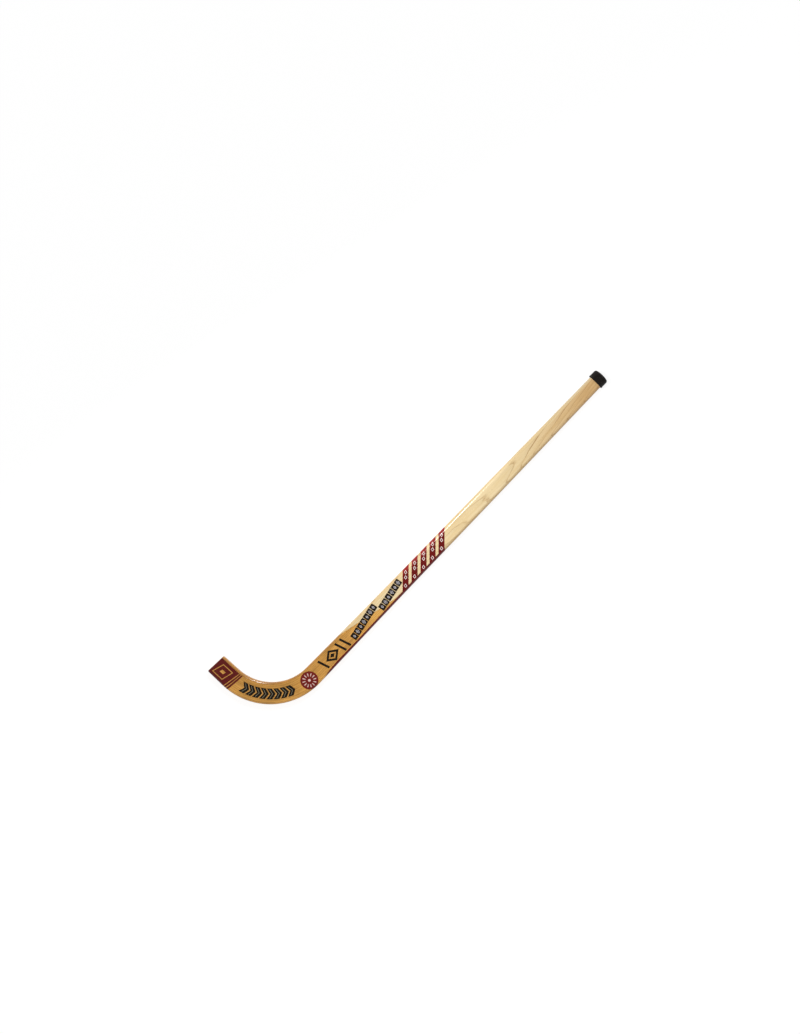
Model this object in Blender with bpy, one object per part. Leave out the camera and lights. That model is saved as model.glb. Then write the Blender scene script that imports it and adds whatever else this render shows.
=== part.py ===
"""Roller hockey stick: a solid ash handle spliced to a blade of bent wooden plies, with a rubber butt cap.

The stick lies on its back face. X runs up the middle of the shaft to the butt, Y points to the inside of
the hook and Z goes through the thickness. The origin is on the back face, where the shaft meets the bend.
"""

from math import cos, pi, radians, sin, sqrt, tan

import bmesh
import bpy
from mathutils import Vector

# Lengths along the middle of the stick, in metres, and the angles of its bend and of the cut at its toe.
SHAFT_LENGTH = 0.8480
BEND_RADIUS = 0.1200
BEND_ANGLE = radians(89)
TOE_LENGTH = 0.0425
TOE_SLANT = radians(4)

# The splice runs from the inside edge, near the heel, to the outside edge, further up the shaft.
SPLICE_START = 0.0920
SPLICE_END = 0.2540
GRIP_START = 0.4800

# Face widths, from the toe to the butt.
TOE_WIDTH = 0.0448
BLADE_WIDTH = 0.0462
BELLY_WIDTH = 0.0454
HEEL_WIDTH = 0.0418
SPLICE_WIDTH = 0.0358
GRIP_WIDTH = 0.0340
BUTT_WIDTH = 0.0292

# Thicknesses, and the radii of the rounded long edges.
BLADE_THICKNESS = 0.0220
BUTT_THICKNESS = 0.0163
BLADE_EDGE_RADIUS = 0.0050
SHAFT_EDGE_RADIUS = 0.0075
TOE_EDGE_RADIUS = 0.0025

# The blade is a stack of plies, each bent the easy way round the heel, with a glue line between them.
PLY_COUNT = 11
GLUE_LINE = 0.0003

# The butt cap is pushed over the end of the handle.
CAP_DEPTH = 0.0159
CAP_FIT = 0.0003
CAP_WALL = 0.0025
CAP_END_WALL = 0.0032
CAP_CROWN = 0.0020
CAP_EDGE_RADIUS = 0.0050
CAP_EDGE_SWEEP = radians(66)
CAP_RIM_LENGTH = 0.0030
CAP_RIM_STEP = 0.0003
CAP_RIM_RADIUS = 0.0008

# How finely the curves are stepped.
BEND_STEPS = 24
SPLICE_STEPS = 6
HANDLE_STEPS = 8
EDGE_STEPS = 6
ROUNDING_STEPS = 5
CROWN_STEPS = 3
EDGE_PLY_SWEEP = radians(75)
SECOND_PLY_STEPS = 3

# Places along the stick that follow from the sizes.
BEND_END = -BEND_RADIUS * BEND_ANGLE
TOE_END = BEND_END - TOE_LENGTH
MIDDLE_HEIGHT = BLADE_THICKNESS / 2

ASH = ("ash", (0.79, 0.63, 0.38), 0.35)
HONEY_WOOD = ("honey_wood", (0.57, 0.31, 0.08), 0.35)
RUBBER = ("rubber", (0.012, 0.012, 0.014), 0.6)


def smooth_value(keys, along):
    """Reads a smooth curve through (place, value) keys, held level beyond its two ends."""
    places = [place for place, _ in keys]
    values = [value for _, value in keys]
    if along <= places[0]:
        return values[0]
    if along >= places[-1]:
        return values[-1]
    slopes = [(values[i + 1] - values[i]) / (places[i + 1] - places[i]) for i in range(len(keys) - 1)]
    tangents = [slopes[0]] + [(a + b) / 2 for a, b in zip(slopes, slopes[1:])] + [slopes[-1]]
    i = max(k for k in range(len(keys) - 1) if places[k] <= along)
    span = places[i + 1] - places[i]
    t = (along - places[i]) / span
    return (
        (2 * t**3 - 3 * t**2 + 1) * values[i]
        + (t**3 - 2 * t**2 + t) * span * tangents[i]
        + (3 * t**2 - 2 * t**3) * values[i + 1]
        + (t**3 - t**2) * span * tangents[i + 1]
    )


def straight_value(start, start_value, end, end_value, along):
    """Reads a straight line between two places, held level beyond them."""
    share = min(max((along - start) / (end - start), 0), 1)
    return start_value + (end_value - start_value) * share


def width_at(along):
    """Width of the flat face, from the inside edge to the outside edge."""
    return smooth_value(
        [
            (TOE_END, TOE_WIDTH),
            (BEND_END, BLADE_WIDTH),
            (BEND_END / 2, BELLY_WIDTH),
            (0, HEEL_WIDTH),
            (SPLICE_END, SPLICE_WIDTH),
            (GRIP_START, GRIP_WIDTH),
            (SHAFT_LENGTH, BUTT_WIDTH),
        ],
        along,
    )


def thickness_at(along):
    """The blade and the splice keep one thickness, and the handle thins towards the butt."""
    return straight_value(SPLICE_END, BLADE_THICKNESS, SHAFT_LENGTH, BUTT_THICKNESS, along)


def edge_radius_at(along):
    """The long edges grow rounder from the blade up to the grip."""
    return straight_value(0, BLADE_EDGE_RADIUS, SPLICE_END, SHAFT_EDGE_RADIUS, along)


def middle_at(along):
    """A point on the middle line, and the direction across the face towards the inside of the hook.

    Past the bend that direction turns little by little, so the toe ends in a slightly slanting cut.
    """
    if along >= 0:
        return Vector((along, 0, MIDDLE_HEIGHT)), Vector((0, 1, 0))
    angle = min(-along / BEND_RADIUS, BEND_ANGLE)
    inward = Vector((sin(angle), cos(angle), 0))
    towards_toe = Vector((-cos(angle), sin(angle), 0))
    bend_centre = Vector((0, BEND_RADIUS, MIDDLE_HEIGHT))
    past_bend = max(BEND_END - along, 0)
    slant = tan(TOE_SLANT) * past_bend / TOE_LENGTH
    point = bend_centre - inward * BEND_RADIUS + towards_toe * past_bend
    return point, inward - towards_toe * slant


def edge_drop(depth, radius):
    """How far the rounded edge falls below the flat face at this depth in from the edge."""
    return radius - sqrt(max(radius**2 - (radius - min(depth, radius)) ** 2, 0))


def cross_section(along, depths, inset=0.0, squeeze=1.0):
    """The closed ring of points at a place, through these depths in from the inside edge.

    An inset shrinks the outline all round, and a squeeze shrinks the ring towards its middle.
    """
    width, radius = width_at(along), edge_radius_at(along) - inset
    middle, inward = middle_at(along)
    half_thickness = thickness_at(along) / 2 - inset
    rim = []
    for depth in depths:
        from_edge = min(depth, width - depth) - inset
        height = half_thickness - edge_drop(max(from_edge, 0), radius)
        rim.append((inward * (width / 2 - depth) * squeeze, Vector((0, 0, height * squeeze))))
    top = [middle + across + up for across, up in rim]
    bottom = [middle + across - up for across, up in reversed(rim)]
    return top + bottom


def ply_depths(number, along, inset):
    """Depths in from the inside edge that one ply's section passes through."""
    width = width_at(along)
    first, last = number == 1, number == PLY_COUNT
    near = inset if first else width * (number - 1) / PLY_COUNT + GLUE_LINE / 2
    far = width - inset if last else width * number / PLY_COUNT - GLUE_LINE / 2
    if first or last:
        sweeps = [EDGE_PLY_SWEEP * step / EDGE_STEPS for step in range(EDGE_STEPS + 1)]
        shares = [(1 - cos(sweep)) / (1 - cos(EDGE_PLY_SWEEP)) for sweep in sweeps]
        if last:
            shares = [1 - share for share in reversed(shares)]
    else:
        steps = SECOND_PLY_STEPS if number in (2, PLY_COUNT - 1) else 1
        shares = [step / steps for step in range(steps + 1)]
    return [near + (far - near) * share for share in shares]


def whole_depths(along, inset):
    """Depths of the whole section, stepped evenly round both rounded edges."""
    width, radius = width_at(along), edge_radius_at(along) - inset
    round_in = [radius * (1 - cos(pi / 2 * step / EDGE_STEPS)) for step in range(EDGE_STEPS + 1)]
    return [inset + depth for depth in round_in] + [width - inset - depth for depth in reversed(round_in)]


def loft(rings):
    """A closed mesh through rings of equally many points, with a flat face at each end."""
    mesh = bmesh.new()
    rows = [[mesh.verts.new(point) for point in ring] for ring in rings]
    for row, following in zip(rows, rows[1:]):
        for i in range(len(row)):
            j = (i + 1) % len(row)
            mesh.faces.new((row[i], row[j], following[j], following[i]))
    mesh.faces.new(reversed(rows[0]))
    mesh.faces.new(rows[-1])
    bmesh.ops.recalc_face_normals(mesh, faces=mesh.faces)
    return mesh


def cut_at_splice(mesh, keep_handle_side):
    """Cuts along the sloping splice, half a glue line back from it, and closes the cut."""
    inside = Vector((SPLICE_START, width_at(SPLICE_START) / 2, 0))
    outside = Vector((SPLICE_END, -width_at(SPLICE_END) / 2, 0))
    slope = outside - inside
    to_handle = Vector((-slope.y, slope.x, 0)).normalized()
    kept_side = to_handle if keep_handle_side else -to_handle
    shaft_verts = {vert for vert in mesh.verts if vert.co.x > -GLUE_LINE}
    shaft_edges = [edge for edge in mesh.edges if shaft_verts.issuperset(edge.verts)]
    shaft_faces = [face for face in mesh.faces if shaft_verts.issuperset(face.verts)]
    cut = bmesh.ops.bisect_plane(
        mesh,
        geom=list(shaft_verts) + shaft_edges + shaft_faces,
        plane_co=inside + kept_side * GLUE_LINE / 2,
        plane_no=kept_side,
        clear_inner=True,
    )
    rim = [item for item in cut["geom_cut"] if isinstance(item, bmesh.types.BMEdge)]
    bmesh.ops.contextual_create(mesh, geom=rim)
    bmesh.ops.recalc_face_normals(mesh, faces=mesh.faces)


def blade_places():
    """Places along a ply with its inset there: round the toe's edge, round the bend and up the splice."""
    places = []
    for step in range(ROUNDING_STEPS):
        turn = pi / 2 * step / ROUNDING_STEPS
        back = TOE_EDGE_RADIUS * (1 - cos(turn))
        places.append((TOE_END + back, TOE_EDGE_RADIUS * (1 - sin(turn))))
    places.append((TOE_END + TOE_EDGE_RADIUS, 0))
    places += [(BEND_END * (1 - step / BEND_STEPS), 0) for step in range(BEND_STEPS + 1)]
    places += [(SPLICE_END * step / SPLICE_STEPS, 0) for step in range(1, SPLICE_STEPS + 1)]
    return places + [(SPLICE_END + splice_margin(), 0)]


def splice_margin():
    """Enough length past the splice for the sloping cut to go right through."""
    return GLUE_LINE * (SPLICE_END - SPLICE_START) / SPLICE_WIDTH


def ply_mesh(number):
    """One ply of the blade, counted from the inside of the hook."""
    rings = [cross_section(along, ply_depths(number, along, inset), inset) for along, inset in blade_places()]
    mesh = loft(rings)
    cut_at_splice(mesh, keep_handle_side=False)
    return mesh


def handle_mesh():
    """The ash handle, from its feathered tip at the splice to the sawn butt."""
    tip = SPLICE_START - splice_margin()
    places = [tip + (SPLICE_END - tip) * step / SPLICE_STEPS for step in range(SPLICE_STEPS)]
    grip = SHAFT_LENGTH - SPLICE_END
    places += [SPLICE_END + grip * step / HANDLE_STEPS for step in range(HANDLE_STEPS + 1)]
    mesh = loft([cross_section(along, whole_depths(along, 0)) for along in places])
    cut_at_splice(mesh, keep_handle_side=True)
    return mesh


def cap_ring(along, growth, squeeze=1.0):
    """A ring of the cap that stands this far outside the handle's section."""
    return cross_section(along, whole_depths(along, -growth), -growth, squeeze)


def cap_mesh():
    """The rubber cap: its socket, a stepped rim, the side wall, a rounded edge and a domed end."""
    mouth = SHAFT_LENGTH - CAP_DEPTH
    floor = SHAFT_LENGTH + CAP_FIT
    side = CAP_FIT + CAP_WALL - CAP_RIM_STEP
    rim = CAP_FIT + CAP_WALL
    crown = floor + CAP_END_WALL
    shoulder = crown - CAP_EDGE_RADIUS * sin(CAP_EDGE_SWEEP)
    rings = [cap_ring(floor, CAP_FIT), cap_ring(mouth, CAP_FIT)]
    rings += [cap_ring(mouth, rim - CAP_RIM_RADIUS), cap_ring(mouth + CAP_RIM_RADIUS, rim)]
    rings += [cap_ring(mouth + CAP_RIM_LENGTH, rim), cap_ring(mouth + CAP_RIM_LENGTH + CAP_RIM_STEP, side)]
    for step in range(ROUNDING_STEPS + 1):
        turn = CAP_EDGE_SWEEP * step / ROUNDING_STEPS
        growth = side - CAP_EDGE_RADIUS * (1 - cos(turn))
        rings.append(cap_ring(shoulder + CAP_EDGE_RADIUS * sin(turn), growth))
    for step in range(1, CROWN_STEPS):
        squeeze = 1 - step / CROWN_STEPS
        rings.append(cap_ring(crown + CAP_CROWN * (1 - squeeze**2), growth, squeeze))
    return loft(rings)


def make_material(name, colour, roughness):
    """A plain surface in the part's own colour."""
    material = bpy.data.materials.new(name)
    material.use_nodes = True
    shader = material.node_tree.nodes["Principled BSDF"]
    shader.inputs["Base Color"].default_value = (*colour, 1)
    shader.inputs["Roughness"].default_value = roughness
    return material


def add_piece(name, mesh, finish, collection, parent):
    """Puts a finished mesh in the collection as a named object of its own."""
    data = bpy.data.meshes.new(name)
    mesh.to_mesh(data)
    mesh.free()
    data.materials.append(bpy.data.materials.get(finish[0]) or make_material(*finish))
    data.shade_smooth()
    data.set_sharp_from_angle(angle=radians(30))
    piece = bpy.data.objects.new(name, data)
    piece.parent = parent
    collection.objects.link(piece)


def build_stick():
    """Makes every piece of the stick in one collection."""
    for old in list(bpy.data.objects):
        bpy.data.objects.remove(old)
    collection = bpy.data.collections.new("roller_hockey_stick")
    bpy.context.scene.collection.children.link(collection)
    heel = bpy.data.objects.new("heel", None)
    collection.objects.link(heel)
    for number in range(1, PLY_COUNT + 1):
        add_piece(f"blade_ply_{number:02d}", ply_mesh(number), HONEY_WOOD, collection, heel)
    add_piece("handle", handle_mesh(), ASH, collection, heel)
    add_piece("butt_cap", cap_mesh(), RUBBER, collection, heel)


build_stick()
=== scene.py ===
"""Looks of a roller hockey stick.

A varnished ash handle, honey-stained bent plies, glue lines, screen prints and a rubber cap.

The frame is in metres. Designs and textures are laid out in millimetres on the stick itself: "along"
follows its middle line, 0 at the heel, positive up the shaft and negative round the bend to the toe;
"across" is the distance from that line on the flat face, positive towards the inside of the hook;
"around" is the same distance measured over the skin, so it carries on round the rounded edges and
down the sides.
"""

import random
from math import asin, atan2, ceil, cos, floor, hypot, pi, radians, sin, sqrt, tan

import bmesh
import bpy
from mathutils import Matrix, Quaternion, Vector


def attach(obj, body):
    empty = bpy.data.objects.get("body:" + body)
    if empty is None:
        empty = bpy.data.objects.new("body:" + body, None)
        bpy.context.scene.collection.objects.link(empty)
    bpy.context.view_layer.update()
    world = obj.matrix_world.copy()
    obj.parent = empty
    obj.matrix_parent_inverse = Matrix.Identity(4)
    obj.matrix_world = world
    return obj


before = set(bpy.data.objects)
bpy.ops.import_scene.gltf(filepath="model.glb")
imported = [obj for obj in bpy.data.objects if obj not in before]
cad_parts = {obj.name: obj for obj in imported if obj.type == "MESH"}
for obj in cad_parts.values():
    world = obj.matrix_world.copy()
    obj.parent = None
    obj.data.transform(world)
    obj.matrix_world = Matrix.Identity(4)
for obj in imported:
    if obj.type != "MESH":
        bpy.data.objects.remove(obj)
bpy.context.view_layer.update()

MM = 0.001

# The stick's own shape, in millimetres, as its source gives it.
SHAFT_LENGTH = 848.0
BEND_RADIUS = 120.0
BEND_ANGLE = radians(89)
TOE_LENGTH = 42.5
TOE_SLANT = radians(4)
TOE_EDGE_RADIUS = 2.5
BEND_END = -BEND_RADIUS * BEND_ANGLE
TOE_END = BEND_END - TOE_LENGTH
SPLICE_START = 92.0
SPLICE_END = 254.0
GRIP_START = 480.0
WIDTHS = (
    (TOE_END, 44.8),
    (BEND_END, 46.2),
    (BEND_END / 2, 45.4),
    (0.0, 41.8),
    (SPLICE_END, 35.8),
    (GRIP_START, 34.0),
    (SHAFT_LENGTH, 29.2),
)
BLADE_THICKNESS = 22.0
BUTT_THICKNESS = 16.3
BLADE_EDGE_RADIUS = 5.0
SHAFT_EDGE_RADIUS = 7.5
PLY_COUNT = 11
BEND_STEPS = 24
BEND_PLACES = [BEND_END * (1 - step / BEND_STEPS) for step in range(BEND_STEPS + 1)]
SPLICE_STEPS = 6
ROUNDING_STEPS = 5

# Films on the skin: how far their undersides and their tops stand off it.
FIRST_COAT = (0.02, 0.045)
BAND_COAT = (0.02, 0.055)
SECOND_COAT = (0.04, 0.07)

# The glue fills most of each joint and lies a little below the skin. At the toe its sections stand
# back from the end and in from the skin as the rounded edge does. Where it meets the splice is found
# in rounds, each nearer than the last.
GLUE_THICKNESS = 0.26
GLUE_RECESS = 0.06
GLUE_TOE_STOPS = ((GLUE_RECESS, TOE_EDGE_RADIUS), (0.5, 1.0), (TOE_EDGE_RADIUS, 0.0))
SHORTEST_GLUE_STEP = 1.0
SPLICE_GLUE_STEPS = 48
SPLICE_SEARCH_ROUNDS = 20

# The camera looks straight down on the photograph's middle, with the shaft rising to the right.
PICTURE_SIZE = (800, 1034)
PIXELS_PER_METRE = 488.4
VIEW_MIDDLE = (0.3564, 0.0966)
VIEW_DISTANCE = 5.0
SHAFT_RISE = radians(46.09)


# The shape of the skin.


def smooth_value(keys, along):
    """Reads a smooth curve through (place, value) keys, held level beyond its two ends."""
    places = [place for place, _ in keys]
    values = [value for _, value in keys]
    if along <= places[0]:
        return values[0]
    if along >= places[-1]:
        return values[-1]
    spans = range(len(keys) - 1)
    slopes = [(values[i + 1] - values[i]) / (places[i + 1] - places[i]) for i in spans]
    tangents = [slopes[0]] + [(a + b) / 2 for a, b in zip(slopes, slopes[1:])] + [slopes[-1]]
    i = max(k for k in spans if places[k] <= along)
    span = places[i + 1] - places[i]
    t = (along - places[i]) / span
    return (
        (2 * t**3 - 3 * t**2 + 1) * values[i]
        + (t**3 - 2 * t**2 + t) * span * tangents[i]
        + (3 * t**2 - 2 * t**3) * values[i + 1]
        + (t**3 - t**2) * span * tangents[i + 1]
    )


def straight_value(start, start_value, end, end_value, along):
    """Reads a straight line between two places, held level beyond them."""
    share = min(max((along - start) / (end - start), 0), 1)
    return start_value + (end_value - start_value) * share


def half_width(along):
    return smooth_value(WIDTHS, along) / 2


def half_thickness(along):
    return straight_value(SPLICE_END, BLADE_THICKNESS, SHAFT_LENGTH, BUTT_THICKNESS, along) / 2


def edge_radius(along):
    return straight_value(0, BLADE_EDGE_RADIUS, SPLICE_END, SHAFT_EDGE_RADIUS, along)


def half_flat(along):
    """How far the flat of the face reaches from the middle before the edge starts to round."""
    return half_width(along) - edge_radius(along)


def half_height(along, across, inset=0.0):
    """Half the solid's thickness at a distance across, which is less over a rounded edge."""
    radius = edge_radius(along) - inset
    past_flat = min(max(abs(across) - half_flat(along), 0), radius)
    return half_thickness(along) - inset - radius + sqrt(radius**2 - past_flat**2)


def middle_at(along):
    """A point on the middle line, the direction across to the inside, and the one towards the toe."""
    turn = min(max(-along / BEND_RADIUS, 0), BEND_ANGLE)
    inward = Vector((sin(turn), cos(turn), 0))
    toeward = Vector((-cos(turn), sin(turn), 0))
    past_bend = max(BEND_END - along, 0)
    point = Vector((max(along, 0), BEND_RADIUS, BLADE_THICKNESS / 2)) - inward * BEND_RADIUS
    slant = tan(TOE_SLANT) * past_bend / TOE_LENGTH
    return point + toeward * past_bend, inward - toeward * slant, toeward


def ring_point(along, around, lift, inset=0.0, end_turn=pi / 2):
    """A point over the skin at a place where the solid has a ring of its own, in millimetres.

    At the toe's rounded end the ring is inset, and its skin faces partly towards the toe.
    """
    side = 1 if around >= 0 else -1
    radius = edge_radius(along) - inset
    past_flat = max(abs(around) - half_flat(along), 0)
    turn = min(past_flat / radius, pi / 2)
    down_side = max(past_flat - radius * pi / 2, 0)
    across = side * (min(abs(around), half_flat(along)) + radius * sin(turn))
    height = half_thickness(along) - inset - radius * (1 - cos(turn)) - down_side
    middle, inward, toeward = middle_at(along)
    outward = inward.normalized() * side * sin(turn) + Vector((0, 0, cos(turn)))
    outward = outward * sin(end_turn) + toeward * cos(end_turn)
    return middle + inward * across + Vector((0, 0, height)) + outward * lift


def toe_rings():
    """The solid's rings round the toe's edge and the bend: place, inset and the skin's turn."""
    rings = []
    for step in range(ROUNDING_STEPS + 1):
        turn = pi / 2 * step / ROUNDING_STEPS
        back = TOE_EDGE_RADIUS * (1 - cos(turn))
        rings.append((TOE_END + back, TOE_EDGE_RADIUS * (1 - sin(turn)), turn))
    return rings + [(place, 0.0, pi / 2) for place in BEND_PLACES]


TOE_RINGS = toe_rings()


def skin_point(along, around, lift):
    """A point over the skin of the solid as it is built, in metres."""
    if along >= 0:
        return ring_point(along, around, lift) * MM
    near = max(i for i in range(len(TOE_RINGS) - 1) if TOE_RINGS[i][0] <= max(along, TOE_END))
    (start, *start_form), (end, *end_form) = TOE_RINGS[near : near + 2]
    before = ring_point(start, around, lift, *start_form)
    after = ring_point(end, around, lift, *end_form)
    return before.lerp(after, (along - start) / (end - start)) * MM


def over_skin(along, across):
    """Turns a distance across the plan of the face into one measured around the skin."""
    flat, radius = half_flat(along), edge_radius(along)
    past_flat = min(max(abs(across) - flat, 0) / radius, 1)
    around = min(abs(across), flat) + radius * asin(past_flat)
    return around if across >= 0 else -around


def from_plan(x, y):
    """Turns a plan position near the heel into its place along and around the stick."""
    if x >= 0:
        return x, over_skin(x, y)
    along = -BEND_RADIUS * atan2(-x, BEND_RADIUS - y)
    return along, over_skin(along, BEND_RADIUS - hypot(x, BEND_RADIUS - y))


# Outlines of the prints, as loops of (along, around) places.


def box_loop(along, around, length, height, lean=0.0):
    """A box about its middle; the lean carries its inner side up the stick."""
    a, b = length / 2, height / 2
    corners = ((-a - lean, -b), (a - lean, -b), (a + lean, b), (-a + lean, b))
    return [(along + u, around + v) for u, v in corners]


def diamond_loop(along, around, length, height):
    a, b = length / 2, height / 2
    return [(along - a, around), (along, around - b), (along + a, around), (along, around + b)]


def nested_diamonds(middle, size, shares):
    """Diamonds about one middle, one inside the other, each a share of the full size."""
    length, height = size
    return [diamond_loop(*middle, length * share, height * share) for share in shares]


def chevron_loop(along, around, point, height, thickness):
    """An arrow head that points up the stick; its thickness is measured along the stick."""
    a, b = point / 2, height / 2
    tail = [(-a, b), (a, 0), (-a, -b)]
    nose = [(u + thickness, v) for u, v in reversed(tail)]
    return [(along - thickness / 2 + u, around + v) for u, v in tail + nose]


def stroke_loop(start, end, thickness):
    """A straight stroke with square ends."""
    start, end = Vector(start), Vector(end)
    side = (end - start).orthogonal().normalized() * thickness / 2
    return [tuple(corner) for corner in (start - side, end - side, end + side, start + side)]


def turned(loop, centre, angle):
    """The loop turned about a centre."""
    turn = Matrix.Rotation(angle, 2)
    centre = Vector(centre)
    return [tuple(centre + turn @ (Vector(corner) - centre)) for corner in loop]


def rounded(loop, radius, steps):
    """The loop with its corners rounded off."""
    smooth = []
    for i, corner in enumerate(loop):
        here, before, after = Vector(corner), Vector(loop[i - 1]), Vector(loop[(i + 1) % len(loop)])
        start = here + (before - here).normalized() * radius
        end = here + (after - here).normalized() * radius
        for step in range(steps + 1):
            t = step / steps
            smooth.append(tuple(start * (1 - t) ** 2 + here * 2 * t * (1 - t) + end * t**2))
    return smooth


# Meshes.

# A film is cut every so far over the rounded edges and up the shaft, so that it follows the skin.
# A cut takes the corners within its margin as they are. Thin pieces are crisp from this turn on.
FILM_PITCH = 0.7
LONG_PITCH = 18.0
CUT_MARGIN = 1e-4
THIN_PIECE_CREASE = radians(30)


def cut_places(low, high, pitch):
    """Evenly spaced places strictly between two limits."""
    places = [pitch * k for k in range(ceil(low / pitch), floor(high / pitch) + 1)]
    return [place for place in places if low < place < high]


def slice_flat(flat, normal, places):
    """Cuts a flat mesh through, square to one axis, at each place."""
    for place in places:
        everything = flat.verts[:] + flat.edges[:] + flat.faces[:]
        cut = {"plane_co": normal * place, "plane_no": normal, "dist": CUT_MARGIN}
        bmesh.ops.bisect_plane(flat, geom=everything, **cut)


def filled_flat(loops):
    """A flat mesh that fills the loops; a loop inside another is a hole."""
    flat = bmesh.new()
    for loop in loops:
        verts = [flat.verts.new((u, v, 0)) for u, v in loop]
        for i, vert in enumerate(verts):
            flat.edges.new((vert, verts[(i + 1) % len(verts)]))
    bmesh.ops.triangle_fill(flat, use_beauty=True, use_dissolve=False, edges=flat.edges[:])
    for face in flat.faces:
        face.normal_update()
        if face.normal.z < 0:
            face.normal_flip()
    return flat


def film_mesh(name, loops, coat):
    """A thin closed film over the skin, from its outline loops."""
    flat = filled_flat(loops)
    alongs = [vert.co.x for vert in flat.verts]
    arounds = [vert.co.y for vert in flat.verts]
    low, high = min(alongs), max(alongs)
    lengthwise, crosswise = Vector((1, 0, 0)), Vector((0, 1, 0))
    slice_flat(flat, lengthwise, [ring[0] for ring in TOE_RINGS if low < ring[0] < high])
    slice_flat(flat, lengthwise, cut_places(max(low, 0), high, LONG_PITCH))
    flat_reach = min(half_flat(low), half_flat(high)) - FILM_PITCH
    around_cuts = cut_places(min(arounds), max(arounds), FILM_PITCH)
    slice_flat(flat, crosswise, [place for place in around_cuts if abs(place) > flat_reach])
    flat.verts.index_update()
    places = [(vert.co.x, vert.co.y) for vert in flat.verts]
    count = len(places)
    points = [skin_point(*place, lift) for lift in coat for place in places]
    faces = []
    for face in flat.faces:
        corners = [vert.index for vert in face.verts]
        faces += [corners[::-1], [corner + count for corner in corners]]
    for edge in flat.edges:
        if edge.is_boundary:
            loop = edge.link_loops[0]
            a, b = loop.vert.index, loop.link_loop_next.vert.index
            faces.append((a, b, b + count, a + count))
    flat.free()
    data = bpy.data.meshes.new(name)
    data.from_pydata(points, [], faces)
    data.validate()
    return data


def loft_mesh(name, rings):
    """A closed mesh through rings of equally many points, in millimetres, with a face at each end."""
    mesh = bmesh.new()
    rows = [[mesh.verts.new(point * MM) for point in ring] for ring in rings]
    for row, following in zip(rows, rows[1:]):
        for i in range(len(row)):
            j = (i + 1) % len(row)
            mesh.faces.new((row[i], row[j], following[j], following[i]))
    mesh.faces.new(reversed(rows[0]))
    mesh.faces.new(rows[-1])
    bmesh.ops.recalc_face_normals(mesh, faces=mesh.faces)
    data = bpy.data.meshes.new(name)
    mesh.to_mesh(data)
    mesh.free()
    return data


def join_meshes(name, parts):
    """One mesh from several, which are then dropped."""
    whole = bmesh.new()
    for part in parts:
        whole.from_mesh(part)
        bpy.data.meshes.remove(part)
    data = bpy.data.meshes.new(name)
    whole.to_mesh(data)
    whole.free()
    return data


def add_piece(name, data, material):
    """Puts a finished mesh in the scene as a piece that rides on the stick."""
    data.materials.append(material)
    data.shade_smooth()
    data.set_sharp_from_angle(angle=THIN_PIECE_CREASE)
    piece = bpy.data.objects.new(name, data)
    bpy.context.scene.collection.objects.link(piece)
    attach(piece, "root")


def add_print(name, shapes, coat, material):
    """Prints one ink; each shape is a list of loops, so that holes stay with their own shape."""
    parts = [film_mesh(f"{name}_part", loops, coat) for loops in shapes]
    add_piece(name, join_meshes(name, parts), material)


# Shader wiring.

SOCKET_KINDS = {"value": "NodeSocketFloat", "colour": "NodeSocketColor", "place": "NodeSocketVector"}
NO_SHIFT = (0.0, 0.0, 0.0)
WHITE = (1.0, 1.0, 1.0, 1.0)


def srgb(red, green, blue):
    """A linear colour from the 0 to 255 numbers of a colour picker."""
    shares = [level / 255 for level in (red, green, blue)]
    return tuple(s / 12.92 if s <= 0.04045 else ((s + 0.055) / 1.055) ** 2.4 for s in shares) + (1.0,)


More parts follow.
